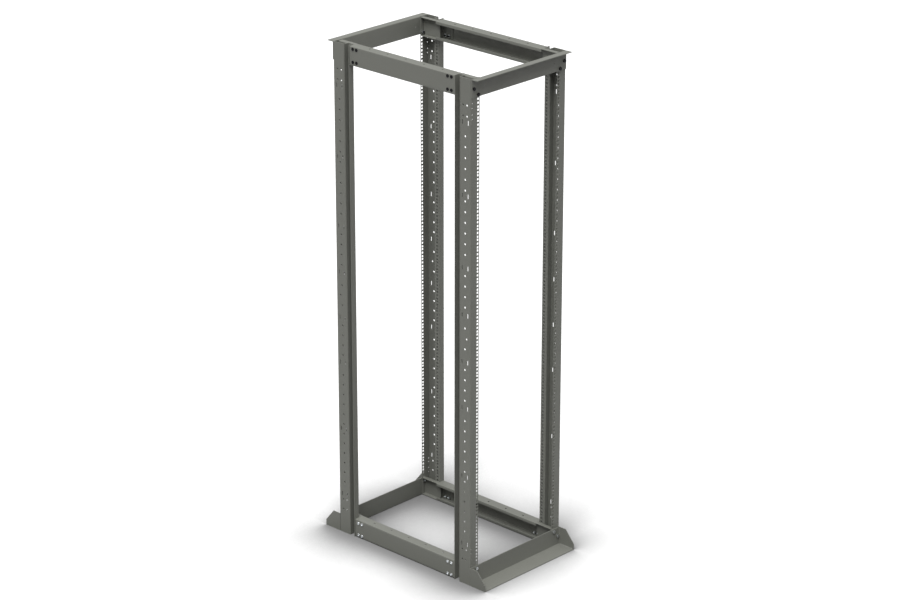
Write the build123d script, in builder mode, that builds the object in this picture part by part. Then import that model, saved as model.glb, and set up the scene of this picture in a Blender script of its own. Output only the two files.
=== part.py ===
"""Open four-post 19-inch equipment rack: folded steel posts, angles, side rails and their bolts.

Millimetres. +Z is up, the front faces -Y, and the origin is on the floor under the frame's centre.
Every piece is drawn at the front left top corner, or across the frame, and mirrored to its other
places. Three distances locate things at that corner: w is inwards from the side plane, d is inwards
from the posts' outer face, and zt is down from the top.
"""

import os

from build123d import *

os.makedirs("parts", exist_ok=True)

# ---- Whole frame ----
FRAME_WIDTH = 546.0          # outer side plane to outer side plane
FRAME_DEPTH = 757.0          # front post face to rear post face
FRAME_HEIGHT = 2160.0
SHEET = 2.5                  # posts, rails, brackets and clips
ANGLE_SHEET = 3.0            # front and rear angles
BEND_MID_RADIUS = 2.25       # bend radius at the middle of the sheet

# ---- Equipment hole pattern (EIA-310) ----
RACK_UNIT = 44.45
UNIT_COUNT = 45
HOLE_COLUMNS_APART = 465.1
HOLES_IN_UNIT = (-15.875, 0.0, 15.875)   # from the middle of each unit
SQUARE_HOLE = 9.5

# ---- Post section ----
POST_FLANGE = 48.0           # leaves the standard 450 clear between the posts
WEB_DEPTH = 61.0             # outer face to the groove
GROOVE_FLOOR_W = 25.0
POST_DEPTH = 88.0
GROOVE_HOLE_D = 75.0         # square holes along the groove floor

# ---- Post side web holes ----
WEB_HOLE_D = 31.2
WEB_HOLE_RADIUS = 4.25
WEB_HOLE_ROWS = 19           # rows above and below mid height, one rack unit apart
ROWS_LEFT_OUT = (0, 2, 7)    # where the slots or the middle hole stand instead
MIDDLE_HOLE_D = 22.3
SLOT_D = (16.0, 46.3)
SLOT_LENGTH = 20.0
SLOT_WIDTH = 4.5
SLOT_HEIGHTS = (100.0, 300.0, 600.0, 900.0)   # above and below mid height
END_HOLE_D = (22.3, 43.0)
END_HOLE_ZT = (109.5, 154.0)
END_HOLE_RADIUS = 4.0
PILOT_HOLE_W = 7.3           # small holes beside the equipment holes
PILOT_HOLE_ZT = (98.5, 117.6, 144.5, 162.3)
PILOT_HOLE_RADIUS = 2.25

# ---- Front and rear angles ----
TOP_ANGLE_HEIGHT = 76.0
TOP_ANGLE_REACH = 32.0
BASE_ANGLE_HEIGHT = 80.0
BASE_ANGLE_REACH = 85.0
GUSSET_NOSE_HEIGHT = 26.0
GUSSET_TOP_REACH = 40.0
EARTH_HOLE = (71.0, 41.0)    # w, zt
EARTH_HOLE_RADIUS = 1.7

# ---- Corner brackets ----
TONGUE_LENGTH = 8.0
TONGUE_ZT = (7.0, 78.0)      # clear of the bracket's own bends

# ---- Side rails and the clips that join them to the posts ----
RAIL_HEIGHT = 80.0
RAIL_W = 3.0                 # outer face
RAIL_FLANGE = 45.0
RAIL_LIP = 13.0
RAIL_GAP = 0.5               # between the post and the rail's end
RAIL_HOLE_W = 28.0
RAIL_HOLE_RADIUS = 4.25
RAIL_HOLE_SPACING = 100.0
RAIL_HOLE_COUNT = 5
CLIP_POST_LEG_W = 26.0
CLIP_RAIL_LEG = 60.0
CLIP_ZT = (6.5, 78.5)        # clear of the rail's inner bends

# ---- M8 fasteners ----
BOLT_RADIUS = 3.95
BOLT_LENGTH = 16.0
CLEARANCE_RADIUS = 4.5
HEX_APOTHEM = 6.5
HEX_TURN = 30.0              # stands the hexagons on a corner, their flats to the sides
HEX_HEAD_HEIGHT = 5.3
NUT_HEIGHT = 6.5
NUT_BORE_RADIUS = 4.0
PAN_HEAD_RADIUS = 7.0
PAN_HEAD_HEIGHT = 2.8
SOCKET_APOTHEM = 2.5
SOCKET_DEPTH = 1.6
EDGE_BREAK = 0.5
ANGLE_BOLTS = ((12.0, 40.0), (36.6, 67.0))      # w, zt
RAIL_BOLT_CENTRE = (117.95, 39.7)               # d, zt
RAIL_BOLT_SPACING = (20.5, 54.0)

# ---- Derived places at the front left top corner ----
SIDE_X = -FRAME_WIDTH / 2
FRONT_Y = -FRAME_DEPTH / 2
MID_Z = FRAME_HEIGHT / 2
GROOVE_BACK_W = GROOVE_FLOOR_W + SHEET
RAIL_LENGTH = FRAME_DEPTH - 2 * (POST_DEPTH + RAIL_GAP)
RAIL_TOP_ZT = SHEET

SIDE_PLANE = Plane.YZ.offset(SIDE_X)            # local x is Y, local y is Z, faces inwards
FRONT_PLANE = Plane.XZ.offset(-FRONT_Y)         # local x is X, local y is Z, faces forwards


def corner_point(w, d):
    """Plan position of a point given by its distances in from the front left corner."""
    return (SIDE_X + w, FRONT_Y + d)


def front_point(w, zt):
    """X and Z of a point on a plane that faces the front."""
    return (SIDE_X + w, FRAME_HEIGHT - zt)


def side_point(d, zt):
    """Y and Z of a point on a plane that faces the side."""
    return (FRONT_Y + d, FRAME_HEIGHT - zt)


def mirrored(part, planes):
    """The part reflected in each of the planes in turn."""
    with BuildPart() as copy:
        add(part)
        for plane in planes:
            mirror(about=plane, mode=Mode.REPLACE)
    return copy.part


def at_four_corners(part):
    """The front left corner's fasteners together with their copies at the other three."""
    with BuildPart() as group:
        add(part)
        mirror(about=Plane.YZ)
        mirror(about=Plane.XZ)
    return group.part


# ================= Post =================
with BuildPart() as post:
    # One folded sheet: front flange, side web, and a groove that opens to the side
    with BuildSketch(Plane.XY):
        with BuildLine():
            FilletPolyline(
                corner_point(POST_FLANGE, SHEET / 2),
                corner_point(SHEET / 2, SHEET / 2),
                corner_point(SHEET / 2, WEB_DEPTH - SHEET / 2),
                corner_point(GROOVE_FLOOR_W + SHEET / 2, WEB_DEPTH - SHEET / 2),
                corner_point(GROOVE_FLOOR_W + SHEET / 2, POST_DEPTH - SHEET / 2),
                corner_point(0, POST_DEPTH - SHEET / 2),
                radius=BEND_MID_RADIUS,
            )
        trace(line_width=SHEET)
    extrude(amount=FRAME_HEIGHT)

    # Front flange: the equipment holes, the pilot holes and the angle bolts' holes
    with BuildSketch(FRONT_PLANE):
        with Locations(((-HOLE_COLUMNS_APART / 2, MID_Z))):
            with GridLocations(0, RACK_UNIT, 1, UNIT_COUNT):
                with Locations([(0, height) for height in HOLES_IN_UNIT]):
                    Rectangle(SQUARE_HOLE, SQUARE_HOLE)
        with Locations([front_point(PILOT_HOLE_W, zt) for zt in PILOT_HOLE_ZT]):
            Circle(PILOT_HOLE_RADIUS)
        with Locations([front_point(w, zt) for w, zt in ANGLE_BOLTS]):
            Circle(CLEARANCE_RADIUS)
        with Locations([front_point(PILOT_HOLE_W, FRAME_HEIGHT - zt) for zt in PILOT_HOLE_ZT]):
            Circle(PILOT_HOLE_RADIUS)
        with Locations([front_point(w, FRAME_HEIGHT - zt) for w, zt in ANGLE_BOLTS]):
            Circle(CLEARANCE_RADIUS)
    extrude(amount=-SHEET, mode=Mode.SUBTRACT)

    # Groove floor: square holes at the equipment heights
    with BuildSketch(SIDE_PLANE.offset(GROOVE_FLOOR_W)):
        with Locations((FRONT_Y + GROOVE_HOLE_D, MID_Z)):
            with GridLocations(0, RACK_UNIT, 1, UNIT_COUNT):
                with Locations([(0, height) for height in HOLES_IN_UNIT]):
                    Rectangle(SQUARE_HOLE, SQUARE_HOLE)
    extrude(amount=SHEET, mode=Mode.SUBTRACT)

    # Side web: round holes one unit apart, pairs of slots, and four larger holes at each end
    with BuildSketch(SIDE_PLANE):
        for row in range(-WEB_HOLE_ROWS, WEB_HOLE_ROWS + 1):
            if abs(row) not in ROWS_LEFT_OUT:
                with Locations((FRONT_Y + WEB_HOLE_D, MID_Z + row * RACK_UNIT)):
                    Circle(WEB_HOLE_RADIUS)
        with Locations((FRONT_Y + MIDDLE_HOLE_D, MID_Z)):
            Circle(END_HOLE_RADIUS)
        for slot_d in SLOT_D:
            for height in SLOT_HEIGHTS:
                with Locations((FRONT_Y + slot_d, MID_Z - height), (FRONT_Y + slot_d, MID_Z + height)):
                    SlotOverall(SLOT_LENGTH, SLOT_WIDTH, rotation=90)
        for hole_d in END_HOLE_D:
            for zt in END_HOLE_ZT:
                with Locations(side_point(hole_d, zt), side_point(hole_d, FRAME_HEIGHT - zt)):
                    Circle(END_HOLE_RADIUS)
    extrude(amount=SHEET, mode=Mode.SUBTRACT)

# ================= Top angle =================
with BuildPart() as top_angle:
    with BuildSketch(SIDE_PLANE):
        with BuildLine():
            FilletPolyline(
                side_point(-ANGLE_SHEET / 2, TOP_ANGLE_HEIGHT),
                side_point(-ANGLE_SHEET / 2, ANGLE_SHEET / 2),
                side_point(-TOP_ANGLE_REACH, ANGLE_SHEET / 2),
                radius=BEND_MID_RADIUS,
            )
        trace(line_width=ANGLE_SHEET)
    extrude(amount=FRAME_WIDTH)

    # Bolt holes, and an earthing hole beside each post
    with BuildSketch(FRONT_PLANE) as top_angle_holes:
        with Locations([front_point(w, zt) for w, zt in ANGLE_BOLTS]):
            Circle(CLEARANCE_RADIUS)
        with Locations(front_point(*EARTH_HOLE)):
            Circle(EARTH_HOLE_RADIUS)
        mirror(about=Plane.YZ)
    extrude(amount=ANGLE_SHEET, mode=Mode.SUBTRACT)

# ================= Base angle =================
with BuildPart() as base_angle:
    # Drawn at the base itself: an upright web and a flange on the floor
    with BuildSketch(SIDE_PLANE):
        with BuildLine():
            FilletPolyline(
                (FRONT_Y - ANGLE_SHEET / 2, BASE_ANGLE_HEIGHT),
                (FRONT_Y - ANGLE_SHEET / 2, ANGLE_SHEET / 2),
                (FRONT_Y - BASE_ANGLE_REACH, ANGLE_SHEET / 2),
                radius=BEND_MID_RADIUS,
            )
        trace(line_width=ANGLE_SHEET)
    extrude(amount=FRAME_WIDTH)

    # A gusset closes each end, flush with the side plane
    with BuildSketch(SIDE_PLANE, SIDE_PLANE.offset(FRAME_WIDTH - ANGLE_SHEET)):
        with BuildLine():
            Polyline(
                (FRONT_Y, 0),
                (FRONT_Y - BASE_ANGLE_REACH, 0),
                (FRONT_Y - BASE_ANGLE_REACH, GUSSET_NOSE_HEIGHT),
                (FRONT_Y - GUSSET_TOP_REACH, BASE_ANGLE_HEIGHT),
                (FRONT_Y, BASE_ANGLE_HEIGHT),
                close=True,
            )
        make_face()
    extrude(amount=ANGLE_SHEET)

    with BuildSketch(FRONT_PLANE):
        with Locations([front_point(w, FRAME_HEIGHT - zt) for w, zt in ANGLE_BOLTS]):
            Circle(CLEARANCE_RADIUS)
        mirror(about=Plane.YZ)
    extrude(amount=ANGLE_SHEET, mode=Mode.SUBTRACT)

# ================= Corner bracket =================
with BuildPart() as corner_bracket:
    # A short channel welded to the back of the groove floor, its flanges in line with the rail's
    bracket_tip_w = RAIL_W + RAIL_FLANGE
    bracket_foot_zt = RAIL_TOP_ZT + RAIL_HEIGHT
    with BuildSketch(FRONT_PLANE.offset(-SHEET)):
        with BuildLine():
            FilletPolyline(
                front_point(bracket_tip_w, RAIL_TOP_ZT + SHEET / 2),
                front_point(GROOVE_BACK_W + SHEET / 2, RAIL_TOP_ZT + SHEET / 2),
                front_point(GROOVE_BACK_W + SHEET / 2, bracket_foot_zt - SHEET / 2),
                front_point(bracket_tip_w, bracket_foot_zt - SHEET / 2),
                radius=BEND_MID_RADIUS,
            )
        trace(line_width=SHEET)
    extrude(amount=-(POST_DEPTH - SHEET))

    # A tongue runs on into the end of the side rail
    with BuildSketch(SIDE_PLANE.offset(GROOVE_BACK_W)):
        with Locations(side_point(POST_DEPTH, TONGUE_ZT[1])):
            Rectangle(TONGUE_LENGTH, TONGUE_ZT[1] - TONGUE_ZT[0], align=(Align.MIN, Align.MIN))
    extrude(amount=SHEET)

# ================= Side rail =================
with BuildPart() as side_rail:
    # A lipped channel, open to the inside of the frame
    rail_foot_zt = RAIL_TOP_ZT + RAIL_HEIGHT
    rail_lip_w = RAIL_W + RAIL_FLANGE - SHEET / 2
    with BuildSketch(Plane.XZ):
        with BuildLine():
            FilletPolyline(
                front_point(rail_lip_w, RAIL_TOP_ZT + RAIL_LIP),
                front_point(rail_lip_w, RAIL_TOP_ZT + SHEET / 2),
                front_point(RAIL_W + SHEET / 2, RAIL_TOP_ZT + SHEET / 2),
                front_point(RAIL_W + SHEET / 2, rail_foot_zt - SHEET / 2),
                front_point(rail_lip_w, rail_foot_zt - SHEET / 2),
                front_point(rail_lip_w, rail_foot_zt - RAIL_LIP),
                radius=BEND_MID_RADIUS,
            )
        trace(line_width=SHEET)
    extrude(amount=RAIL_LENGTH / 2, both=True)

    # A row of holes down through both flanges
    with BuildSketch(Plane.XY.offset(FRAME_HEIGHT)):
        with Locations((SIDE_X + RAIL_HOLE_W, 0)):
            with GridLocations(0, RAIL_HOLE_SPACING, 1, RAIL_HOLE_COUNT):
                Circle(RAIL_HOLE_RADIUS)
    extrude(amount=-(RAIL_TOP_ZT + RAIL_HEIGHT), mode=Mode.SUBTRACT)

    # Four bolt holes at each end
    with BuildSketch(SIDE_PLANE.offset(RAIL_W)):
        with Locations(side_point(*RAIL_BOLT_CENTRE)):
            with GridLocations(*RAIL_BOLT_SPACING, 2, 2):
                Circle(CLEARANCE_RADIUS)
        mirror(about=Plane.YZ)
    extrude(amount=SHEET, mode=Mode.SUBTRACT)

# ================= Rail clip =================
with BuildPart() as rail_clip:
    # One leg welded to the post's end wall, the other bolted inside the rail's web
    clip_corner_w = RAIL_W + SHEET * 1.5
    with BuildSketch(Plane.XY.offset(FRAME_HEIGHT - CLIP_ZT[1])):
        with BuildLine():
            FilletPolyline(
                corner_point(CLIP_POST_LEG_W, POST_DEPTH + SHEET / 2),
                corner_point(clip_corner_w, POST_DEPTH + SHEET / 2),
                corner_point(clip_corner_w, POST_DEPTH + CLIP_RAIL_LEG),
                radius=BEND_MID_RADIUS,
            )
        trace(line_width=SHEET)
    extrude(amount=CLIP_ZT[1] - CLIP_ZT[0])

    with BuildSketch(SIDE_PLANE.offset(RAIL_W + SHEET)):
        with Locations(side_point(*RAIL_BOLT_CENTRE)):
            with GridLocations(*RAIL_BOLT_SPACING, 2, 2):
                Circle(CLEARANCE_RADIUS)
    extrude(amount=SHEET, mode=Mode.SUBTRACT)


# ================= Fasteners =================
def hex_bolts(seat, points):
    """Hexagon head bolts that stand on the seat plane, with their shanks going down through it."""
    with BuildPart() as bolts:
        with BuildSketch(seat):
            with Locations(points):
                RegularPolygon(HEX_APOTHEM, 6, major_radius=False, rotation=HEX_TURN)
        extrude(amount=HEX_HEAD_HEIGHT)
        outer_faces = bolts.faces().sort_by(Axis(seat.origin, seat.z_dir))[-len(points):]
        chamfer(outer_faces.edges(), EDGE_BREAK)
        with BuildSketch(seat):
            with Locations(points):
                Circle(BOLT_RADIUS)
        extrude(amount=-BOLT_LENGTH)
    return bolts.part


def pan_bolts(seat, points):
    """Low round head bolts with a hexagon socket, seated on the plane."""
    with BuildPart() as bolts:
        with BuildSketch(seat):
            with Locations(points):
                Circle(PAN_HEAD_RADIUS)
        extrude(amount=PAN_HEAD_HEIGHT)
        with BuildSketch(seat.offset(PAN_HEAD_HEIGHT)):
            with Locations(points):
                RegularPolygon(SOCKET_APOTHEM, 6, major_radius=False)
        extrude(amount=-SOCKET_DEPTH, mode=Mode.SUBTRACT)
        with BuildSketch(seat):
            with Locations(points):
                Circle(BOLT_RADIUS)
        extrude(amount=-BOLT_LENGTH)
    return bolts.part


def hex_nuts(seat, points):
    """Hexagon nuts that stand on the seat plane."""
    with BuildPart() as nuts:
        with BuildSketch(seat):
            with Locations(points):
                RegularPolygon(HEX_APOTHEM, 6, major_radius=False, rotation=HEX_TURN)
                Circle(NUT_BORE_RADIUS, mode=Mode.SUBTRACT)
        extrude(amount=NUT_HEIGHT)
    return nuts.part


def seat_at(origin, normal):
    """A plane for fasteners whose local y is up."""
    return Plane(origin=origin, x_dir=Vector(0, 0, 1).cross(Vector(normal)), z_dir=normal)


angle_bolt_seat = seat_at((0, FRONT_Y - ANGLE_SHEET, 0), (0, -1, 0))
angle_nut_seat = seat_at((0, FRONT_Y + SHEET, 0), (0, 1, 0))
angle_bolt_points = [front_point(w, zt) for w, zt in ANGLE_BOLTS]

rail_bolt_seat = seat_at((SIDE_X + RAIL_W, 0, 0), (-1, 0, 0))
rail_nut_seat = seat_at((SIDE_X + RAIL_W + 2 * SHEET, 0, 0), (1, 0, 0))
rail_bolt_points = [
    side_point(
        RAIL_BOLT_CENTRE[0] + along * RAIL_BOLT_SPACING[0] / 2,
        RAIL_BOLT_CENTRE[1] + down * RAIL_BOLT_SPACING[1] / 2,
    )
    for along in (-1, 1)
    for down in (-1, 1)
]


def on_seat(seat, points):
    """The points' places in the seat plane's own axes, which may run backwards."""
    return [(across * round(seat.x_dir.X + seat.x_dir.Y), up) for across, up in points]


FASTENERS = {
    "angle_bolts": hex_bolts(angle_bolt_seat, on_seat(angle_bolt_seat, angle_bolt_points)),
    "angle_nuts": hex_nuts(angle_nut_seat, on_seat(angle_nut_seat, angle_bolt_points)),
    "rail_bolts": pan_bolts(rail_bolt_seat, on_seat(rail_bolt_seat, rail_bolt_points)),
    "rail_nuts": hex_nuts(rail_nut_seat, on_seat(rail_nut_seat, rail_bolt_points)),
}

# ================= Every piece in its places =================
TO_RIGHT = Plane.YZ
TO_REAR = Plane.XZ
TO_BASE = Plane.XY.offset(MID_Z)
CORNERS = {
    "front_left": [],
    "front_right": [TO_RIGHT],
    "rear_left": [TO_REAR],
    "rear_right": [TO_RIGHT, TO_REAR],
}
LEVELS = {"top": [], "base": [TO_BASE]}

pieces = {
    "top_angle_front": top_angle.part,
    "top_angle_rear": mirrored(top_angle.part, [TO_REAR]),
    "base_angle_front": base_angle.part,
    "base_angle_rear": mirrored(base_angle.part, [TO_REAR]),
}
for corner, corner_planes in CORNERS.items():
    pieces[f"post_{corner}"] = mirrored(post.part, corner_planes)
for level, level_planes in LEVELS.items():
    pieces[f"side_rail_{level}_left"] = mirrored(side_rail.part, level_planes)
    pieces[f"side_rail_{level}_right"] = mirrored(side_rail.part, level_planes + [TO_RIGHT])
    for corner, corner_planes in CORNERS.items():
        planes = level_planes + corner_planes
        pieces[f"corner_bracket_{level}_{corner}"] = mirrored(corner_bracket.part, planes)
        pieces[f"rail_clip_{level}_{corner}"] = mirrored(rail_clip.part, planes)
    for fastener, part in FASTENERS.items():
        pieces[f"{fastener}_{level}"] = mirrored(at_four_corners(part), level_planes)

for name, part in pieces.items():
    part.label = name
    export_step(part, f"parts/{name}.step")
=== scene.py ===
"""Open four-post equipment rack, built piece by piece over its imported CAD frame.

Laid out as a Blender add-on: sizes and finishes are properties, each group of like pieces has an
operator, and one panel lists them. Lengths are written in millimetres and placed in metres.

The frame is the same at its four corners and at both ends, so each piece is drawn once, at the
front left top corner, and mirrored. Three distances locate things there: w is inwards from the
side plane, d is inwards from the posts' outer face, and t is down from the top.
"""

import math

import bmesh
import bpy
from bpy.props import FloatProperty, FloatVectorProperty, IntProperty, PointerProperty
from mathutils import Matrix, Vector
from mathutils.geometry import delaunay_2d_cdt


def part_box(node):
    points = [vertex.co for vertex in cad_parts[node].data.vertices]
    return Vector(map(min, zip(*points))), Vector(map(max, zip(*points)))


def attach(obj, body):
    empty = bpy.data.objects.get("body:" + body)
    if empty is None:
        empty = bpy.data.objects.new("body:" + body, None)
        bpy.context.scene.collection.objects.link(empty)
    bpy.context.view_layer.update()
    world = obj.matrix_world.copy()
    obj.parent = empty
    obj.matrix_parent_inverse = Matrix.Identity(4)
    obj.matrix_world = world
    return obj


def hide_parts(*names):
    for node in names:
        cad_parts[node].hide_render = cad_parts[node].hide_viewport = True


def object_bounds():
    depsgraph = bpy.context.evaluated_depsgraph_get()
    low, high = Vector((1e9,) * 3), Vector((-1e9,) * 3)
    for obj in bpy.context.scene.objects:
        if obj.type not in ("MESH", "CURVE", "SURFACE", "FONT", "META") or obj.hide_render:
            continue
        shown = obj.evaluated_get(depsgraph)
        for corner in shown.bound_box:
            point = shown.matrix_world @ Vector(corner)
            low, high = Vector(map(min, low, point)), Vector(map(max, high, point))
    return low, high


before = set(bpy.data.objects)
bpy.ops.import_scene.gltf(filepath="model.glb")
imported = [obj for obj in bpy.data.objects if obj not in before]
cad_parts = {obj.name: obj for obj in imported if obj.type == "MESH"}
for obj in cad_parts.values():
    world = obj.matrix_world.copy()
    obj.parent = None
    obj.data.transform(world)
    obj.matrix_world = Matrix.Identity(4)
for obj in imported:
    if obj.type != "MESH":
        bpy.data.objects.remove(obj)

bl_info = {
    "name": "Four-Post Equipment Rack",
    "version": (1, 0, 0),
    "blender": (4, 5, 0),
    "location": "View3D > Sidebar > Rack",
    "description": "Builds an open four-post equipment rack of folded sheet steel",
    "category": "Object",
}

MM = 0.001
CAD_BOX = [list(corner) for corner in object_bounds()]
POST_LOW, POST_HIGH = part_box("post_front_left")
SIDE_X = POST_LOW[0] / MM
FRONT_Y = POST_LOW[1] / MM
TOP_Z = CAD_BOX[1][2] / MM

# Sections of the folded pieces, in millimetres along w, d and t
FLANGE_W = 48.0                      # the post's flange, the rails and the brackets reach to here
WEB_DEPTH = 61.0
GROOVE_FLOOR_W = 25.0
GROOVE_BACK_W = 27.5
POST_DEPTH = 88.0
RAIL_W = 3.0
RAIL_TOP_T, RAIL_FOOT_T = 2.5, 82.5
RAIL_LIP_T = (15.5, 69.5)
TOP_ANGLE_HEIGHT, TOP_ANGLE_REACH = 76.0, 32.0
BASE_ANGLE_HEIGHT, BASE_ANGLE_REACH = 80.0, 85.0
GUSSET = [(0, 0), (85, 0), (85, 26), (40, 80), (0, 80)]
TONGUE_D, TONGUE_T = 96.0, (7.0, 78.0)
CLIP_W, CLIP_D, CLIP_T = 26.0, 148.0, (6.5, 78.5)

# Holes, in millimetres
HOLES_IN_UNIT = (-15.875, 0.0, 15.875)
GROOVE_HOLE_D = 75.0
WEB_HOLE_D, WEB_HOLE_ROWS, ROWS_LEFT_OUT = 31.2, 19, (0, 2, 7)
MIDDLE_HOLE_D = 22.3
SLOT_D, SLOT_RISES = (16.0, 46.3), (100, 300, 600, 900)
END_HOLE_D, END_HOLE_T, END_HOLE_RADIUS = (22.3, 43.0), (109.5, 154.0), 4.0
PILOT_HOLE_W, PILOT_HOLE_T, PILOT_HOLE_RADIUS = 7.3, (98.5, 117.6, 144.5, 162.3), 2.25
EARTH_HOLE_W, EARTH_HOLE_T, EARTH_HOLE_RADIUS = 71.0, 41.0, 1.7
RAIL_HOLE_W, RAIL_HOLE_SPACING, RAIL_HOLE_RADIUS = 28.0, 100, 4.25
ANGLE_BOLTS = ((12.0, 40.0), (36.6, 67.0))
RAIL_BOLTS = [(d, t) for d in (107.7, 128.2) for t in (12.7, 66.7)]
CLEARANCE = 4.5

# The names of the finishes, each with a slot name
COAT, COAT_SLOT = "Grey satin powder coat", "grey_powder_coat"
OXIDE, OXIDE_SLOT = "Black oxide steel", "black_oxide_steel"
ZINC, ZINC_SLOT = "Bright zinc plated steel", "zinc_plated_steel"
FLOOR_PAINT = "Matt studio floor paint"
WHITE = (1, 1, 1, 1)

ALL_REGIONS = 0                      # delaunay_2d_cdt keeps every triangle

CORNERS = {
    "front_left": (1, 1),
    "front_right": (-1, 1),
    "rear_left": (1, -1),
    "rear_right": (-1, -1),
}
LEVELS = {"top": 1, "base": -1}


def linear(hex_colour):
    """An sRGB hex colour as linear red, green, blue and alpha."""
    channels = [int(hex_colour[i : i + 2], 16) / 255 for i in (1, 3, 5)]
    return [c / 12.92 if c <= 0.04045 else ((c + 0.055) / 1.055) ** 2.4 for c in channels] + [1.0]


# ---------------------------------------------------------------- properties


class RackSheetSettings(bpy.types.PropertyGroup):
    """Thicknesses and bends of the folded sheet."""

    sheet: FloatProperty(
        name="Sheet", description="Thickness of posts, rails, brackets and clips",
        default=2.5 * MM, unit="LENGTH",
    )
    angle_sheet: FloatProperty(
        name="Angle Sheet", description="Thickness of the front and rear angles",
        default=3 * MM, unit="LENGTH",
    )
    bend_radius: FloatProperty(
        name="Bend Radius", description="Bend radius at the middle of the sheet",
        default=2.25 * MM, unit="LENGTH",
    )
    edge_break: FloatProperty(
        name="Edge Break", description="Width of the softened edge left by deburring and coating",
        default=0.35 * MM, unit="LENGTH",
    )
    bend_steps: IntProperty(
        name="Bend Steps", description="Faces around each bend", default=5, min=2, max=16,
    )


class RackHoleSettings(bpy.types.PropertyGroup):
    """The punched holes."""

    rack_unit: FloatProperty(
        name="Rack Unit", description="Height of one equipment unit", default=44.45 * MM, unit="LENGTH",
    )
    unit_count: IntProperty(
        name="Units", description="Equipment units up each post", default=45, min=1, max=60,
    )
    columns_apart: FloatProperty(
        name="Column Spacing", description="Between the left and right equipment hole columns",
        default=465.1 * MM, unit="LENGTH",
    )
    square_hole: FloatProperty(
        name="Square Hole", description="Side of an equipment hole", default=9.5 * MM, unit="LENGTH",
    )
    web_hole: FloatProperty(
        name="Web Hole", description="Diameter of the round holes up the side web",
        default=8.5 * MM, unit="LENGTH",
    )
    slot_length: FloatProperty(
        name="Slot Length", description="End to end length of the upright slots",
        default=20 * MM, unit="LENGTH",
    )
    slot_width: FloatProperty(
        name="Slot Width", description="Width of the upright slots", default=4.5 * MM, unit="LENGTH",
    )


class RackFastenerSettings(bpy.types.PropertyGroup):
    """The M8 bolts and nuts."""

    thread: FloatProperty(
        name="Thread Diameter", description="Outside diameter of the bolts' thread",
        default=7.9 * MM, unit="LENGTH",
    )
    pitch: FloatProperty(
        name="Thread Pitch", description="Distance from one thread to the next",
        default=1.25 * MM, unit="LENGTH",
    )
    length: FloatProperty(
        name="Bolt Length", description="Length under the head", default=16 * MM, unit="LENGTH",
    )
    across_flats: FloatProperty(
        name="Across Flats", description="Width of the hexagons", default=13 * MM, unit="LENGTH",
    )


class RackFinishSettings(bpy.types.PropertyGroup):
    """Colours of the finishes."""

    coat: FloatVectorProperty(
        name="Powder Coat", description="Colour of the steel's powder coat",
        default=linear("#656660"), size=4, subtype="COLOR", min=0, max=1,
    )
    oxide: FloatVectorProperty(
        name="Black Oxide", description="Colour of the blackened bolts",
        default=linear("#1C1C1E"), size=4, subtype="COLOR", min=0, max=1,
    )
    zinc: FloatVectorProperty(
        name="Zinc", description="Colour of the zinc plated bolts and nuts",
        default=linear("#C9CCCE"), size=4, subtype="COLOR", min=0, max=1,
    )
    floor: FloatVectorProperty(
        name="Floor", description="Colour of the studio floor",
        default=linear("#DCDCDC"), size=4, subtype="COLOR", min=0, max=1,
    )


class RackStageSettings(bpy.types.PropertyGroup):
    """The camera and the lights."""

    azimuth: FloatProperty(
        name="Azimuth", description="Camera's turn about the rack",
        default=math.radians(-46.331), subtype="ANGLE",
    )
    elevation: FloatProperty(
        name="Elevation", description="Camera's height above the horizon",
        default=math.radians(21.248), subtype="ANGLE",
    )
    distance: FloatProperty(
        name="Distance", description="Camera to the point that it looks at",
        default=12.2884, unit="LENGTH",
    )
    aim_height: FloatProperty(
        name="Aim Height", description="Height of the point that the camera looks at",
        default=1.0759, unit="LENGTH",
    )
    aim_across: FloatProperty(
        name="Aim Across", description="How far right of centre the camera looks",
        default=0.004124, unit="LENGTH",
    )
    lens: FloatProperty(name="Lens", description="Focal length in millimetres", default=119.811)
    zenith: FloatProperty(
        name="Zenith", description="Strength of the overhead light", default=1.2, min=0,
    )
    horizon: FloatProperty(
        name="Horizon", description="Strength of the light at eye level", default=0.34, min=0,
    )
    ground: FloatProperty(
        name="Ground", description="Strength of the light from below", default=0.06, min=0,
    )
    key: FloatProperty(
        name="Key", description="Strength of the soft light from the left", default=3.5, min=0,
    )


# ---------------------------------------------------------------- placing


def at_corner(corner, level):
    """The matrix that takes a piece from the front left top corner to another corner and level."""
    across, along = CORNERS[corner]
    up = LEVELS[level]
    mid = TOP_Z * MM / 2
    return (
        Matrix.Translation((0, 0, mid))
        @ Matrix.Diagonal((across, along, up, 1))
        @ Matrix.Translation((0, 0, -mid))
    )


def plan(w, d, z):
    """A place from w, d and a height above the floor."""
    return Vector((SIDE_X + w, FRONT_Y + d, z)) * MM


def section(w, t, d):
    """A place from w, t and d."""
    return Vector((SIDE_X + w, FRONT_Y + d, TOP_Z - t)) * MM


def profile(d, t, x):
    """A place from d, t and a distance across the frame."""
    return Vector((x, FRONT_Y + d, TOP_Z - t)) * MM


# ---------------------------------------------------------------- folded sheet


def round_hole(radius, steps=24):
    """A circle's points, anticlockwise."""
    angles = [math.tau * i / steps for i in range(steps)]
    return [(radius * math.cos(a), radius * math.sin(a)) for a in angles]


def square_hole(side, corner=0.6):
    """A punched square with its small corner radii."""
    half = side / 2 - corner
    points = []
    for quarter, (sx, sy) in enumerate(((1, 1), (-1, 1), (-1, -1), (1, -1))):
        for step in range(3):
            angle = math.tau * (quarter + step / 2) / 4
            points.append((sx * half + corner * math.cos(angle), sy * half + corner * math.sin(angle)))
    return points


def slot_hole(length, width, steps=10):
    """An upright slot with round ends."""
    radius = width / 2
    straight = length / 2 - radius
    points = []
    for end, rise in ((0, straight), (math.pi, -straight)):
        for step in range(steps + 1):
            angle = end + math.pi * step / steps
            points.append((radius * math.cos(angle), rise + radius * math.sin(angle)))
    return points


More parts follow.
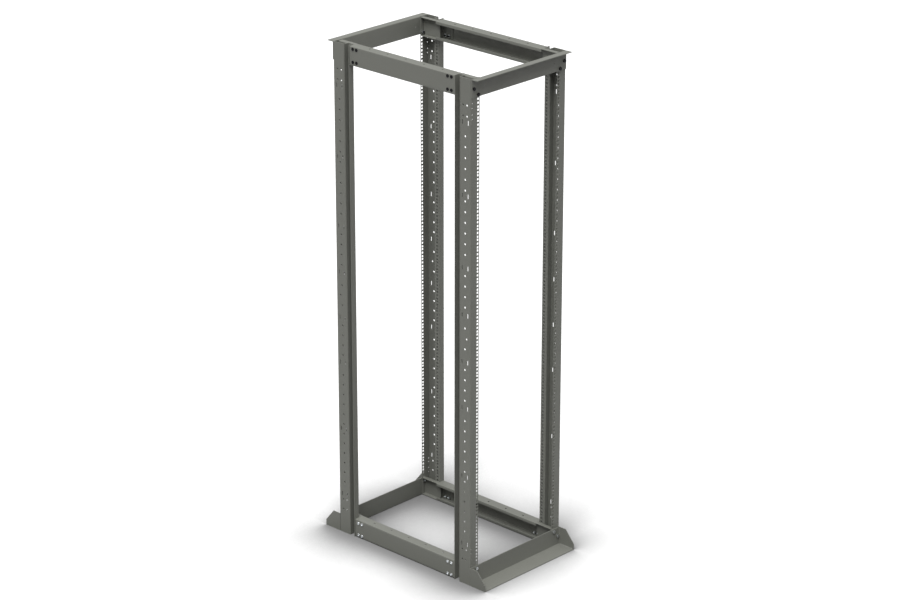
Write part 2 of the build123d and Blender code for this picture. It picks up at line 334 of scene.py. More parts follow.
def pierced_flat(outline, holes):
    """Triangles that fill the outline and leave the holes open: (points, triangles)."""
    loops = [outline] + holes
    points, edges, faces = [], [], []
    for loop in loops:
        first = len(points)
        ring = list(range(first, first + len(loop)))
        points += [Vector(p) for p in loop]
        edges += list(zip(ring, ring[1:] + ring[:1]))
        faces.append(ring)
    found, _, triangles, _, _, owners = delaunay_2d_cdt(points, edges, faces, ALL_REGIONS, 1e-6)
    kept = []
    for triangle, owner in zip(triangles, owners):
        if list(owner) == [0]:
            a, b, c = (found[i] for i in triangle)
            turns_left = (b - a).cross(c - a) > 0
            kept.append(list(triangle) if turns_left else list(reversed(triangle)))
    return [tuple(p) for p in found], kept


class SheetSurface:
    """The middle surface of a folded sheet, gathered flat by flat and bend by bend."""

    def __init__(self):
        self.index = {}
        self.points = []
        self.normals = []
        self.faces = []

    def point(self, place, normal):
        """The number of the vertex at this place, new or shared."""
        key = tuple(round(v, 4) for v in place)
        if key not in self.index:
            self.index[key] = len(self.points)
            self.points.append(Vector(place))
            self.normals.append(Vector(normal))
        return self.index[key]

    def rim(self):
        """Each edge that only one face uses, in that face's direction."""
        used = {}
        for face in self.faces:
            for a, b in zip(face, face[1:] + face[:1]):
                used[(a, b)] = True
        return [edge for edge in used if (edge[1], edge[0]) not in used]


def folded_sheet(bm, path, along, thickness, place, sheets, holes=(), outlines=None):
    """A sheet folded along the path and run from along[0] to along[1], with holes and broken edges.

    path is the middle of the sheet, in the two axes that place() takes first. Each hole is
    (flat, middle on the path's plane, distance along, loop). outlines gives a flat its own shape.
    """
    bend = sheets.bend_radius / MM
    start, end = along
    corners = [Vector(p) for p in path]
    ways = [(b - a).normalized() for a, b in zip(corners, corners[1:])]
    surface = SheetSurface()
    for number, (a, b, way) in enumerate(zip(corners, corners[1:], ways)):
        first = bend if number > 0 else 0
        last = (b - a).length - (bend if number < len(ways) - 1 else 0)
        normal = (way.y, -way.x, 0)
        rectangle = [(first, start), (last, start), (last, end), (first, end)]
        outline = (outlines or {}).get(number, rectangle)
        loops = []
        for flat, middle, run, loop in holes:
            if flat == number:
                across = (Vector(middle) - a).dot(way)
                loops.append([(across + x, run + y) for x, y in loop])
        found, triangles = pierced_flat(outline, loops)
        numbers = [surface.point((*(a + way * s), v), normal) for s, v in found]
        surface.faces += [[numbers[i] for i in triangle] for triangle in triangles]
    for corner, way, new_way in zip(corners[1:], ways, ways[1:]):
        centre = corner - way * bend + new_way * bend
        turn = way.x * new_way.y - way.y * new_way.x
        rows = []
        for step in range(sheets.bend_steps + 1):
            angle = math.pi / 2 * step / sheets.bend_steps
            spoke = way * math.sin(angle) - new_way * math.cos(angle)
            outwards = spoke * (1 if turn > 0 else -1)
            spot = centre + spoke * bend
            rows.append([surface.point((*spot, v), (*outwards, 0)) for v in (start, end)])
        for (low, high), (new_low, new_high) in zip(rows, rows[1:]):
            surface.faces.append([low, new_low, new_high, high])
    thicken(bm, surface, thickness, sheets.edge_break / MM, place)


def thicken(bm, surface, thickness, edge_break, place):
    """Gives the middle surface its two faces and a rim with broken edges."""
    rim = surface.rim()
    inwards = {}
    for a, b in rim:
        for vertex in (a, b):
            way = (surface.points[b] - surface.points[a]).normalized()
            inwards.setdefault(vertex, []).append(surface.normals[vertex].cross(way).normalized())
    half = thickness / 2
    skins = []
    for side in (1, -1):
        skin = []
        for number, (spot, normal) in enumerate(zip(surface.points, surface.normals)):
            shift = Vector((0, 0, 0))
            if number in inwards:
                one, other = inwards[number][0], inwards[number][-1]
                halfway = (one + other).normalized()
                shift = halfway * (edge_break / max(halfway.dot(one), 0.4))
            skin.append(bm.verts.new(place(*(spot + normal * half * side + shift))))
        skins.append(skin)
    lips = []
    for side in (1, -1):
        height = (half - edge_break) * side
        lip = {}
        for i in inwards:
            spot = surface.points[i] + surface.normals[i] * height
            lip[i] = bm.verts.new(place(*spot))
        lips.append(lip)
    for face in surface.faces:
        bm.faces.new([skins[0][i] for i in face])
        bm.faces.new([skins[1][i] for i in reversed(face)])
    for a, b in rim:
        for upper, lower in ((skins[0], lips[0]), (lips[0], lips[1]), (lips[1], skins[1])):
            bm.faces.new([upper[b], upper[a], lower[a], lower[b]])


# ---------------------------------------------------------------- turned and hexagonal shapes


def hexagon(apothem):
    """A function from angle to the hexagon's radius."""
    return lambda angle: apothem / math.cos((angle + math.pi / 6) % (math.pi / 3) - math.pi / 6)


def circle(radius):
    """A function from angle to the circle's radius."""
    return lambda angle: radius


def turned(bm, rings, matrix, closed=False, steps=36):
    """Skins a stack of rings, each (radius function, height function), from the top downwards."""
    angles = [math.tau * i / steps for i in range(steps)]
    rows = []
    for radius, height in rings:
        row = []
        for angle in angles:
            reach = radius(angle)
            spot = Vector((reach * math.cos(angle), reach * math.sin(angle), height(reach))) * MM
            row.append(bm.verts.new(matrix @ spot))
        rows.append(row)
    pairs = list(zip(rows, rows[1:]))
    if closed:
        pairs.append((rows[-1], rows[0]))
    else:
        bm.faces.new(rows[0])
        bm.faces.new(list(reversed(rows[-1])))
    for upper, lower in pairs:
        for i in range(steps):
            j = (i + 1) % steps
            bm.faces.new([upper[i], lower[i], lower[j], upper[j]])


def level(height):
    """A height function that is the same all round."""
    return lambda reach: height


def chamfered(height, flat_radius, sense=1):
    """The height where a hexagon meets its 30 degree chamfer."""
    return lambda reach: height - sense * max(0.0, reach - flat_radius) * math.tan(math.radians(30))


def thread_rings(radius, depth, pitch, top, bottom):
    """Rings up and down a thread's crests and roots."""
    rings = []
    height = top
    while height - pitch > bottom:
        rings.append((circle(radius), level(height)))
        rings.append((circle(radius), level(height - pitch * 0.2)))
        rings.append((circle(radius - depth), level(height - pitch * 0.5)))
        rings.append((circle(radius - depth), level(height - pitch * 0.7)))
        height -= pitch
    rings.append((circle(radius), level(height)))
    return rings


def shank_rings(fasteners):
    """The threaded shank under a bolt's head, with its pointed end."""
    radius = fasteners.thread / MM / 2
    length = fasteners.length / MM
    rings = thread_rings(radius, 0.55, fasteners.pitch / MM, 0, 0.8 - length)
    return rings + [(circle(radius), level(0.7 - length)), (circle(radius - 0.7), level(-length))]


def hex_bolt(bm, matrix, fasteners):
    """A hexagon head bolt whose head stands on z = 0."""
    apothem = fasteners.across_flats / MM / 2
    head = 5.3
    flat = apothem * 0.94
    rings = [
        (circle(flat), level(head)),
        (hexagon(apothem), chamfered(head, flat)),
        (hexagon(apothem), level(0.35)),
        (circle(flat), level(0.3)),
        (circle(flat), level(0.0)),
    ]
    turned(bm, rings + shank_rings(fasteners), matrix)


def button_bolt(bm, matrix, fasteners):
    """A low round head bolt with a hexagon socket, its head on z = 0."""
    outer, head, socket = 7.0, 2.75, 2.5
    rings = [(hexagon(socket * 0.98), level(head - 1.6)), (hexagon(socket), level(head - 0.15))]
    rings.append((circle(socket * 1.3), level(head)))
    for step in range(1, 7):
        angle = math.pi / 2 * step / 6
        reach = socket * 1.5 + (outer - socket * 1.5) * math.sin(angle)
        rings.append((circle(reach), level(0.7 + (head - 0.7) * math.cos(angle) ** 0.8)))
    rings += [(circle(outer), level(0.2)), (circle(outer - 0.2), level(0.0))]
    turned(bm, rings + shank_rings(fasteners), matrix)


def hex_nut(bm, matrix, fasteners):
    """A hexagon nut that stands on z = 0, with a threaded bore."""
    apothem = fasteners.across_flats / MM / 2
    height = 6.5
    flat = apothem * 0.94
    bore = fasteners.thread / MM / 2 + 0.05
    bore_rings = thread_rings(bore + 0.3, 0.3, fasteners.pitch / MM, height - 0.4, 0.6)
    rings = [
        (circle(bore + 0.4), level(height)),
        (circle(flat), level(height)),
        (hexagon(apothem), chamfered(height, flat)),
        (hexagon(apothem), chamfered(0.0, flat, -1)),
        (circle(flat), level(0.0)),
        (circle(bore + 0.4), level(0.0)),
    ]
    turned(bm, rings + list(reversed(bore_rings)), matrix, closed=True)


# ---------------------------------------------------------------- making pieces


def finish_piece(name, bm, material, node, sharp=35):
    """Turns the mesh into a piece that rides on the frame and stands for its CAD node."""
    bmesh.ops.recalc_face_normals(bm, faces=bm.faces[:])
    mesh = bpy.data.meshes.new(name)
    bm.to_mesh(mesh)
    bm.free()
    mesh.shade_smooth()
    mesh.set_sharp_from_angle(angle=math.radians(sharp))
    mesh.materials.append(bpy.data.materials[material])
    piece = bpy.data.objects.new(name, mesh)
    bpy.context.scene.collection.objects.link(piece)
    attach(piece, "root")
    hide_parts(node)
    return piece


def mirrored_copy(bm, matrix):
    """The mesh moved by the matrix, still facing outwards."""
    copy = bm.copy()
    bmesh.ops.transform(copy, matrix=matrix, verts=copy.verts[:])
    return copy


def place_sheet_copies(bm, name, places):
    """Places one sheet piece at each (node, matrix) and frees the pattern."""
    for node, matrix in places:
        finish_piece(name + node, mirrored_copy(bm, matrix), COAT, node)
    bm.free()


def equipment_holes(holes):
    """Heights of the equipment holes above the floor."""
    unit = holes.rack_unit / MM
    middle = TOP_Z / 2
    first = -(holes.unit_count - 1) / 2
    heights = []
    for i in range(holes.unit_count):
        heights += [middle + (first + i) * unit + lift for lift in HOLES_IN_UNIT]
    return heights


class RACK_OT_posts(bpy.types.Operator):
    """Builds the four folded posts with their hole columns"""

    bl_idname = "rack.posts"
    bl_label = "Posts"

    def execute(self, context):
        sheets, holes = context.scene.rack_sheets, context.scene.rack_holes
        half = sheets.sheet / MM / 2
        low, high = POST_LOW[2] / MM, POST_HIGH[2] / MM
        groove_w = GROOVE_FLOOR_W + half
        path = [
            (FLANGE_W, half),
            (half, half),
            (half, WEB_DEPTH - half),
            (groove_w, WEB_DEPTH - half),
            (groove_w, POST_DEPTH - half),
            (0, POST_DEPTH - half),
        ]
        front, web, groove_floor = 0, 1, 3
        column = -SIDE_X - holes.columns_apart / MM / 2
        punched = []
        square = square_hole(holes.square_hole / MM)
        for z in equipment_holes(holes):
            punched.append((front, (column, half), z, square))
            punched.append((groove_floor, (groove_w, GROOVE_HOLE_D), z, square))
        middle = TOP_Z / 2
        for row in range(-WEB_HOLE_ROWS, WEB_HOLE_ROWS + 1):
            if abs(row) not in ROWS_LEFT_OUT:
                z = middle + row * holes.rack_unit / MM
                punched.append((web, (half, WEB_HOLE_D), z, round_hole(holes.web_hole / MM / 2)))
        punched.append((web, (half, MIDDLE_HOLE_D), middle, round_hole(END_HOLE_RADIUS)))
        slot = slot_hole(holes.slot_length / MM, holes.slot_width / MM)
        for end in (-1, 1):
            for rise in SLOT_RISES:
                punched += [(web, (half, d), middle + end * rise, slot) for d in SLOT_D]
            for t in END_HOLE_T:
                z = middle + end * (middle - t)
                punched += [(web, (half, d), z, round_hole(END_HOLE_RADIUS)) for d in END_HOLE_D]
            for t in PILOT_HOLE_T:
                z = middle + end * (middle - t)
                punched.append((front, (PILOT_HOLE_W, half), z, round_hole(PILOT_HOLE_RADIUS, 16)))
            for w, t in ANGLE_BOLTS:
                z = middle + end * (middle - t)
                punched.append((front, (w, half), z, round_hole(CLEARANCE)))
        bm = bmesh.new()
        folded_sheet(bm, path, (low, high), 2 * half, plan, sheets, punched)
        place_sheet_copies(bm, "folded_", [(f"post_{c}", at_corner(c, "top")) for c in CORNERS])
        return {"FINISHED"}


def front_and_rear(name):
    """The CAD node's name and matrix at the front and the rear."""
    ends = ("front", "rear")
    return [(f"{name}_{end}", at_corner(f"{end}_left", "top")) for end in ends]


class RACK_OT_top_angles(bpy.types.Operator):
    """Builds the front and rear top angles, with their flanges turned outwards"""

    bl_idname = "rack.top_angles"
    bl_label = "Top Angles"

    def execute(self, context):
        sheets = context.scene.rack_sheets
        half = sheets.angle_sheet / MM / 2
        path = [(-half, TOP_ANGLE_HEIGHT), (-half, half), (-TOP_ANGLE_REACH, half)]
        punched = []
        for side in (-1, 1):
            for w, t in ANGLE_BOLTS:
                punched.append((0, (-half, t), side * (-SIDE_X - w), round_hole(CLEARANCE)))
            earth_x = side * (-SIDE_X - EARTH_HOLE_W)
            punched.append((0, (-half, EARTH_HOLE_T), earth_x, round_hole(EARTH_HOLE_RADIUS, 16)))
        bm = bmesh.new()
        folded_sheet(bm, path, (SIDE_X, -SIDE_X), 2 * half, profile, sheets, punched)
        place_sheet_copies(bm, "folded_", front_and_rear("top_angle"))
        return {"FINISHED"}


class RACK_OT_base_angles(bpy.types.Operator):
    """Builds the front and rear base angles, with a gusset welded across each end"""

    bl_idname = "rack.base_angles"
    bl_label = "Base Angles"

    def execute(self, context):
        sheets = context.scene.rack_sheets
        thick = sheets.angle_sheet / MM
        half = thick / 2
        foot = TOP_Z
        inner = -SIDE_X - thick
        path = [
            (-half, foot - BASE_ANGLE_HEIGHT),
            (-half, foot - half),
            (-BASE_ANGLE_REACH, foot - half),
        ]
        punched = []
        for side in (-1, 1):
            for w, t in ANGLE_BOLTS:
                x = side * (-SIDE_X - w)
                punched.append((0, (-half, foot - t), x, round_hole(CLEARANCE)))
        bm = bmesh.new()
        folded_sheet(bm, path, (-inner, inner), thick, profile, sheets, punched)
        gusset_path = [(0, 0), (BASE_ANGLE_REACH, 0)]
        upright = (0, BASE_ANGLE_HEIGHT)
        for side in (-1, 1):
            gusset_x = side * (-SIDE_X - half)

            def stand(reach, offset, height, gusset_x=gusset_x):
                return Vector((gusset_x + offset, FRONT_Y - reach, height)) * MM

            folded_sheet(bm, gusset_path, upright, thick, stand, sheets, outlines={0: GUSSET})
            self.weld(bm, side * inner, side)
        place_sheet_copies(bm, "folded_", front_and_rear("base_angle"))
        return {"FINISHED"}

    def weld(self, bm, x, side):
        """A fillet weld in short ripples, along the floor flange and up the web."""
        size, ripple = 2.4, 1.6
        runs = (
            (Vector((x, FRONT_Y - 8, 3)), Vector((0, -1, 0)), Vector((0, 0, 1)), 72),
            (Vector((x, FRONT_Y - 3, 8)), Vector((0, 0, 1)), Vector((0, -1, 0)), 66),
        )
        for origin, way, out, length in runs:
            inwards = Vector((-side, 0, 0))
            rows = []
            count = int(length / ripple * 4)
            for i in range(count + 1):
                swell = size * (0.86 + 0.14 * abs(math.sin(math.pi * i / 4)))
                ends = min(1.0, (i + 1) / 5, (count + 1 - i) / 5)
                reach = swell * (0.4 + 0.6 * ends)
                middle = origin + way * length * i / count
                row = [middle - inwards * 0.3 - out * 0.3, middle + inwards * reach - out * 0.3]
                for step in (1, 2):
                    angle = math.pi / 2 * step / 3
                    spoke = inwards * math.cos(angle) + out * math.sin(angle)
                    row.append(middle + spoke * reach * 0.82)
                row.append(middle + out * reach - inwards * 0.3)
                rows.append([bm.verts.new(spot * MM) for spot in row])
            for one, two in zip(rows, rows[1:]):
                for i in range(5):
                    j = (i + 1) % 5
                    bm.faces.new([one[i], one[j], two[j], two[i]])
            bm.faces.new(rows[0])
            bm.faces.new(list(reversed(rows[-1])))


class RACK_OT_side_rails(bpy.types.Operator):
    """Builds the four lipped channels that join the front and rear posts"""

    bl_idname = "rack.side_rails"
    bl_label = "Side Rails"

    def execute(self, context):
        sheets = context.scene.rack_sheets
        half = sheets.sheet / MM / 2
        low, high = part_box("side_rail_top_left")
        along = ((low[1] / MM - FRONT_Y), (high[1] / MM - FRONT_Y))
        middle = sum(along) / 2
        inner, outer = FLANGE_W - half, RAIL_W + half
        upper, lower = RAIL_TOP_T + half, RAIL_FOOT_T - half
        path = [
            (inner, RAIL_LIP_T[0]),
            (inner, upper),
            (outer, upper),
            (outer, lower),
            (inner, lower),
            (inner, RAIL_LIP_T[1]),
        ]
        top_flange, web, foot_flange = 1, 2, 3
        punched = []
        for step in range(-2, 3):
            d = middle + RAIL_HOLE_SPACING * step
            punched.append((top_flange, (RAIL_HOLE_W, upper), d, round_hole(RAIL_HOLE_RADIUS)))
            punched.append((foot_flange, (RAIL_HOLE_W, lower), d, round_hole(RAIL_HOLE_RADIUS)))
        for d, t in RAIL_BOLTS:
            punched.append((web, (outer, t), d, round_hole(CLEARANCE)))
            punched.append((web, (outer, t), 2 * middle - d, round_hole(CLEARANCE)))
        bm = bmesh.new()
        folded_sheet(bm, path, along, 2 * half, section, sheets, punched)
        places = []
        for at_level in LEVELS:
            places.append((f"side_rail_{at_level}_left", at_corner("front_left", at_level)))
            places.append((f"side_rail_{at_level}_right", at_corner("front_right", at_level)))
        place_sheet_copies(bm, "lipped_", places)
        return {"FINISHED"}


def each_corner(name):
    """The CAD node's name and matrix at every corner of both levels."""
    places = []
    for at_level in LEVELS:
        places += [(f"{name}_{at_level}_{corner}", at_corner(corner, at_level)) for corner in CORNERS]
    return places


class RACK_OT_corner_brackets(bpy.types.Operator):
    """Builds the eight short channels behind the posts' grooves, each with a tongue for the rail"""

    bl_idname = "rack.corner_brackets"
    bl_label = "Corner Brackets"

    def execute(self, context):
        sheets = context.scene.rack_sheets
        half = sheets.sheet / MM / 2
        bend = sheets.bend_radius / MM
        first, last = RAIL_TOP_T + half, RAIL_FOOT_T - half
        back = GROOVE_BACK_W + half
        near, far = 2 * half, POST_DEPTH
        path = [(FLANGE_W, first), (back, first), (back, last), (FLANGE_W, last)]
        start, end = bend, last - first - bend
        high, low = TONGUE_T[0] - first, TONGUE_T[1] - first
        tongue = [(low, far), (low, TONGUE_D), (high, TONGUE_D), (high, far)]
        plate = [(start, near), (end, near), (end, far), *tongue, (start, far)]
        bm = bmesh.new()
        folded_sheet(bm, path, (near, far), 2 * half, section, sheets, outlines={1: plate})
        place_sheet_copies(bm, "folded_", each_corner("corner_bracket"))
        return {"FINISHED"}


class RACK_OT_rail_clips(bpy.types.Operator):
    """Builds the eight angle clips between the posts and the side rails"""

    bl_idname = "rack.rail_clips"
    bl_label = "Rail Clips"

    def execute(self, context):
        sheets = context.scene.rack_sheets
        half = sheets.sheet / MM / 2
        leg_w, leg_d = RAIL_W + 3 * half, POST_DEPTH + half
        path = [(CLIP_W, leg_d), (leg_w, leg_d), (leg_w, CLIP_D)]
        punched = [(1, (leg_w, d), TOP_Z - t, round_hole(CLEARANCE)) for d, t in RAIL_BOLTS]
        upright = (TOP_Z - CLIP_T[1], TOP_Z - CLIP_T[0])
        bm = bmesh.new()
        folded_sheet(bm, path, upright, 2 * half, plan, sheets, punched)
        place_sheet_copies(bm, "folded_", each_corner("rail_clip"))
        return {"FINISHED"}


def facing(spot, way):
    """A matrix whose z runs along way from the spot."""
    return Matrix.Translation(spot) @ Vector(way).to_track_quat("Z", "Y").to_matrix().to_4x4()


def fastener_seats(sheets):
    """Each fastener's seats at the front left top corner: name to matrices."""
    front, back, left, right = (0, -1, 0), (0, 1, 0), (-1, 0, 0), (1, 0, 0)
    sheet, angle_sheet = sheets.sheet / MM, sheets.angle_sheet / MM
    clip_w = RAIL_W + 2 * sheet
    return {
        "angle_bolts": [facing(section(w, t, -angle_sheet), front) for w, t in ANGLE_BOLTS],
        "angle_nuts": [facing(section(w, t, sheet), back) for w, t in ANGLE_BOLTS],
        "rail_bolts": [facing(section(RAIL_W, t, d), left) for d, t in RAIL_BOLTS],
        "rail_nuts": [facing(section(clip_w, t, d), right) for d, t in RAIL_BOLTS],
    }


def place_fasteners(context, kinds):
    """Builds the named fasteners at the four corners of both levels."""
    fasteners = context.scene.rack_fasteners
    seats = fastener_seats(context.scene.rack_sheets)
    for name, make in kinds.items():
        for at_level in LEVELS:
            bm = bmesh.new()
            for corner in CORNERS:
                for seat in seats[name]:
                    make(bm, at_corner(corner, at_level) @ seat, fasteners)
            blackened = at_level == "top" and name.endswith("bolts")
            material, slot = (OXIDE, OXIDE_SLOT) if blackened else (ZINC, ZINC_SLOT)
            node = f"{name}_{at_level}"
            finish_piece("m8_" + node, bm, material, node, sharp=28)


class RACK_OT_bolts(bpy.types.Operator):
    """Builds the M8 bolts: hexagon heads on the angles, low round heads on the rails"""

    bl_idname = "rack.bolts"
    bl_label = "Bolts"

    def execute(self, context):
        place_fasteners(context, {"angle_bolts": hex_bolt, "rail_bolts": button_bolt})
        return {"FINISHED"}


class RACK_OT_nuts(bpy.types.Operator):
    """Builds the M8 nuts behind every bolt"""

    bl_idname = "rack.nuts"
    bl_label = "Nuts"

    def execute(self, context):
        place_fasteners(context, {"angle_nuts": hex_nut, "rail_nuts": hex_nut})
        return {"FINISHED"}


# ---------------------------------------------------------------- materials


def add_node(tree, kind, settings=None, links=None):
    """Adds a node, sets its properties and sockets, and links sockets to other nodes' outputs."""
    node = tree.nodes.new(kind)
    for key, value in (settings or {}).items():
        if isinstance(key, str) and hasattr(node, key):
            setattr(node, key, value)
        else:
            node.inputs[key].default_value = value
    for key, output in (links or {}).items():
        tree.links.new(output, node.inputs[key])
    return node


def new_material(name, colour):
    """An empty node material with its viewport colour."""
    material = bpy.data.materials.new(name)
    material.use_nodes = True
    material.diffuse_color = colour
    material.node_tree.nodes.clear()
    return material, material.node_tree


def tinted(tree, factor, colour, darker, lighter):
    """The colour taken between a darker and a lighter tone by a factor."""
    low = [c * darker for c in colour[:3]] + [1.0]
    high = [min(1.0, c * lighter) for c in colour[:3]] + [1.0]
    settings = {"data_type": "RGBA", 6: low, 7: high}
    return add_node(tree, "ShaderNodeMix", settings, {0: factor}).outputs[2]


def powder_coat(colour):
    """Polyester powder, sprayed and baked: satin, with a fine orange peel and soft mottling."""
    material, tree = new_material(COAT, colour)
    place = add_node(tree, "ShaderNodeTexCoord").outputs["Object"]
    # Flow marks of the baked coat, about 40 mm across, shift its tone by a few percent
    flow = add_node(
        tree,
        "ShaderNodeTexNoise",
        {"Scale": 25.0, "Detail": 3.0, "Roughness": 0.55},
        {"Vector": place},
    )
    # The powder's grain, under half a millimetre
    grain = add_node(tree, "ShaderNodeTexNoise", {"Scale": 2400.0, "Detail": 2.0}, {"Vector": place})
    # Orange peel, one swell to each 1.5 mm
    peel = add_node(
        tree,
        "ShaderNodeTexNoise",
        {"Scale": 650.0, "Detail": 1.5, "Roughness": 0.4},
        {"Vector": place},
    )
    sum_settings = {"operation": "MULTIPLY_ADD", 1: 0.35}
    tone = add_node(tree, "ShaderNodeMath", sum_settings, {0: grain.outputs[0], 2: flow.outputs[0]})
    paint = tinted(tree, tone.outputs[0], colour, 0.95, 1.03)
    sheen = add_node(
        tree,
        "ShaderNodeMapRange",
        {"From Min": 0.3, "From Max": 0.7, "To Min": 0.46, "To Max": 0.56},
        {"Value": flow.outputs[0]},
    )
    bump = add_node(
        tree,
        "ShaderNodeBump",
        {"Strength": 0.25, "Distance": 0.00006},
        {"Height": peel.outputs[0]},
    )
    shader = add_node(
        tree,
        "ShaderNodeBsdfPrincipled",
        {"IOR": 1.5, "Metallic": 0.0, "Specular IOR Level": 0.45},
        {"Base Color": paint, "Roughness": sheen.outputs[0], "Normal": bump.outputs[0]},
    )
    add_node(tree, "ShaderNodeOutputMaterial", None, {"Surface": shader.outputs[0]})


def black_oxide(colour):
    """Hot blackened steel: near black and slightly oily, paler and darker in random stains."""
    material, tree = new_material(OXIDE, colour)
    place = add_node(tree, "ShaderNodeTexCoord").outputs["Object"]
    stain = add_node(tree, "ShaderNodeTexNoise", {"Scale": 500.0, "Detail": 4.0}, {"Vector": place})
    tone = tinted(tree, stain.outputs[0], colour, 0.7, 1.6)
    gloss = add_node(
        tree,
        "ShaderNodeMapRange",
        {"To Min": 0.34, "To Max": 0.5},
        {"Value": stain.outputs[0]},
    )
    bump = add_node(
        tree,
        "ShaderNodeBump",
        {"Strength": 0.2, "Distance": 0.00003},
        {"Height": stain.outputs[0]},
    )
    shader = add_node(
        tree,
        "ShaderNodeBsdfPrincipled",
        {"Metallic": 1.0},
        {"Base Color": tone, "Roughness": gloss.outputs[0], "Normal": bump.outputs[0]},
    )
    add_node(tree, "ShaderNodeOutputMaterial", None, {"Surface": shader.outputs[0]})


def bright_zinc(colour):
    """Electroplated zinc over rolled steel: pale and bright, with a fine spangle and soft clouds."""
    material, tree = new_material(ZINC, colour)
    place = add_node(tree, "ShaderNodeTexCoord").outputs["Object"]
    # Plating clouds about 2 mm across
    cloud = add_node(tree, "ShaderNodeTexNoise", {"Scale": 450.0, "Detail": 3.0}, {"Vector": place})
    spangle = add_node(tree, "ShaderNodeTexVoronoi", {"Scale": 2200.0}, {"Vector": place})
    tone = tinted(tree, cloud.outputs[0], colour, 0.86, 1.08)
    gloss = add_node(
        tree,
        "ShaderNodeMapRange",
        {"To Min": 0.2, "To Max": 0.38},
        {"Value": cloud.outputs[0]},
    )
    bump = add_node(
        tree,
        "ShaderNodeBump",
        {"Strength": 0.15, "Distance": 0.00002},
        {"Height": spangle.outputs["Distance"]},
    )
    shader = add_node(
        tree,
        "ShaderNodeBsdfPrincipled",
        {"Metallic": 1.0},
        {"Base Color": tone, "Roughness": gloss.outputs[0], "Normal": bump.outputs[0]},
    )
    add_node(tree, "ShaderNodeOutputMaterial", None, {"Surface": shader.outputs[0]})


def studio_floor(colour):
    """A painted studio floor: matt, with roller texture too fine to see from the camera, and soft
    contact shadows painted into its colour.
    """
    material, tree = new_material(FLOOR_PAINT, colour)
    place = add_node(tree, "ShaderNodeTexCoord").outputs["Object"]
    roller = add_node(tree, "ShaderNodeTexNoise", {"Scale": 120.0, "Detail": 2.0}, {"Vector": place})
    tone = tinted(tree, roller.outputs[0], colour, 0.985, 1.01)
    # Painted shadow: an ambient occlusion term darkens the floor's colour into soft contact shadows
    # where the rack closes the floor in
    openness = add_node(tree, "ShaderNodeAmbientOcclusion", {"samples": 32, "Distance": 0.5})
    steepen = {"operation": "POWER", 1: 7.0}
    steep = add_node(tree, "ShaderNodeMath", steepen, {0: openness.outputs["AO"]})
    lift = {"operation": "MULTIPLY_ADD", 1: 0.75, 2: 0.25}
    depth = add_node(tree, "ShaderNodeMath", lift, {0: steep.outputs[0]})
    shade = {0: tone, "Scale": depth.outputs[0]}
    shadow_painted_colour = add_node(tree, "ShaderNodeVectorMath", {"operation": "SCALE"}, shade).outputs[0]
    shader = add_node(
        tree,
        "ShaderNodeBsdfPrincipled",
        {"Roughness": 0.9, "Specular IOR Level": 0.1},
        {"Base Color": shadow_painted_colour},
    )
    add_node(tree, "ShaderNodeOutputMaterial", None, {"Surface": shader.outputs[0]})


def soft_surround(zenith, horizon, ground):
    """A white dome, brightest overhead, over a dim lower half."""
    world = bpy.data.worlds.new("Soft white surround")
    world.use_nodes = True
    tree = world.node_tree
    tree.nodes.clear()
    way = add_node(tree, "ShaderNodeTexCoord").outputs["Generated"]
    height = add_node(tree, "ShaderNodeSeparateXYZ", None, {0: way}).outputs["Z"]
    ramp = {"From Min": -0.15, "From Max": 0.15, "To Min": ground, "To Max": horizon}
    skyline = add_node(tree, "ShaderNodeMapRange", ramp, {"Value": height}).outputs[0]
    above = add_node(tree, "ShaderNodeMath", {"operation": "MAXIMUM", 1: 0.0}, {0: height}).outputs[0]
    climb = {"operation": "MULTIPLY_ADD", 1: zenith - horizon}
    strength = add_node(tree, "ShaderNodeMath", climb, {0: above, 2: skyline}).outputs[0]
    # Seen directly, past the floor's far edge, it is plain white
    seen = add_node(tree, "ShaderNodeLightPath").outputs["Is Camera Ray"]
    shown = add_node(tree, "ShaderNodeMath", {"operation": "MAXIMUM"}, {0: strength, 1: seen}).outputs[0]
    glow = add_node(tree, "ShaderNodeBackground", {"Color": WHITE}, {"Strength": shown})
    add_node(tree, "ShaderNodeOutputWorld", None, {"Surface": glow.outputs[0]})
    return world


class RACK_OT_finishes(bpy.types.Operator):
    """Makes the rack's finishes: powder coat, black oxide and bright zinc"""

    bl_idname = "rack.finishes"
    bl_label = "Finishes"

    def execute(self, context):
        finish = context.scene.rack_finish
        powder_coat(list(finish.coat))
        black_oxide(list(finish.oxide))
        bright_zinc(list(finish.zinc))
        return {"FINISHED"}


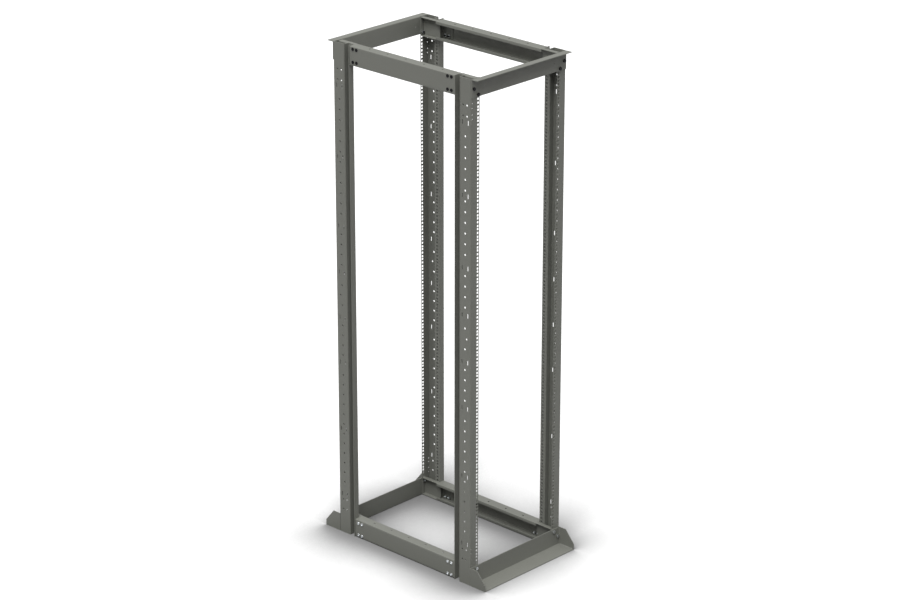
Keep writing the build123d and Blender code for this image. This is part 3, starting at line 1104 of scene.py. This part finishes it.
class RACK_OT_stage(bpy.types.Operator):
    """Sets the floor, the soft light and the camera"""

    bl_idname = "rack.stage"
    bl_label = "Stage"

    def execute(self, context):
        scene = context.scene
        setting = scene.rack_stage
        studio_floor(list(scene.rack_finish.floor))
        bm = bmesh.new()
        bmesh.ops.create_grid(bm, x_segments=8, y_segments=8, size=40)
        mesh = bpy.data.meshes.new("studio_floor")
        bm.to_mesh(mesh)
        bm.free()
        mesh.materials.append(bpy.data.materials[FLOOR_PAINT])
        floor = bpy.data.objects.new("studio_floor", mesh)
        scene.collection.objects.link(floor)
        # The floor shows in bright metal, but throws no soft light back into the rack's hollows
        floor.visible_diffuse = False

        scene.world = soft_surround(setting.zenith, setting.horizon, setting.ground)
        scene.view_settings.view_transform = "Standard"

        key = bpy.data.lights.new("overhead_key", "SUN")
        key.energy = setting.key
        key.angle = math.radians(32)
        lamp = bpy.data.objects.new("overhead_key", key)
        lamp.matrix_world = facing(Vector((0, 0, 6)), (-0.44, -0.25, 0.86))
        scene.collection.objects.link(lamp)

        turn, rise = setting.azimuth, setting.elevation
        flat = math.cos(rise)
        back = Vector((math.sin(turn) * flat, -math.cos(turn) * flat, math.sin(rise)))
        right = Vector((math.cos(turn), math.sin(turn), 0))
        up = back.cross(right)
        eye = right * setting.aim_across + Vector((0, 0, setting.aim_height)) + back * setting.distance
        lens = bpy.data.cameras.new("studio_camera")
        lens.lens = setting.lens
        lens.sensor_width = 36
        lens.clip_end = 200
        camera = bpy.data.objects.new("studio_camera", lens)
        camera.matrix_world = Matrix((right, up, back)).transposed().to_4x4()
        camera.location = eye
        scene.collection.objects.link(camera)
        scene.camera = camera
        return {"FINISHED"}


class RACK_PT_build(bpy.types.Panel):
    """Lists the rack's pieces and settings"""

    bl_idname = "RACK_PT_build"
    bl_label = "Equipment Rack"
    bl_space_type = "VIEW_3D"
    bl_region_type = "UI"
    bl_category = "Rack"

    def draw(self, context):
        for group in SETTINGS:
            settings = getattr(context.scene, group)
            box = self.layout.box()
            for name in settings.bl_rna.properties.keys():
                if name not in ("rna_type", "name"):
                    box.prop(settings, name)
        column = self.layout.column(align=True)
        for operator in BUILD_ORDER:
            column.operator(operator.bl_idname)


SETTINGS = {
    "rack_sheets": RackSheetSettings,
    "rack_holes": RackHoleSettings,
    "rack_fasteners": RackFastenerSettings,
    "rack_finish": RackFinishSettings,
    "rack_stage": RackStageSettings,
}
BUILD_ORDER = [
    RACK_OT_finishes,
    RACK_OT_posts,
    RACK_OT_top_angles,
    RACK_OT_base_angles,
    RACK_OT_side_rails,
    RACK_OT_corner_brackets,
    RACK_OT_rail_clips,
    RACK_OT_bolts,
    RACK_OT_nuts,
    RACK_OT_stage,
]


def register():
    for cls in [*SETTINGS.values(), *BUILD_ORDER, RACK_PT_build]:
        bpy.utils.register_class(cls)
    for name, cls in SETTINGS.items():
        setattr(bpy.types.Scene, name, PointerProperty(type=cls))


def unregister():
    for name in SETTINGS:
        delattr(bpy.types.Scene, name)
    for cls in reversed([*SETTINGS.values(), *BUILD_ORDER, RACK_PT_build]):
        bpy.utils.unregister_class(cls)


def build_rack():
    register()
    for operator in BUILD_ORDER:
        module, name = operator.bl_idname.split(".")
        getattr(getattr(bpy.ops, module), name)()


if __name__ == "__main__":
    build_rack()
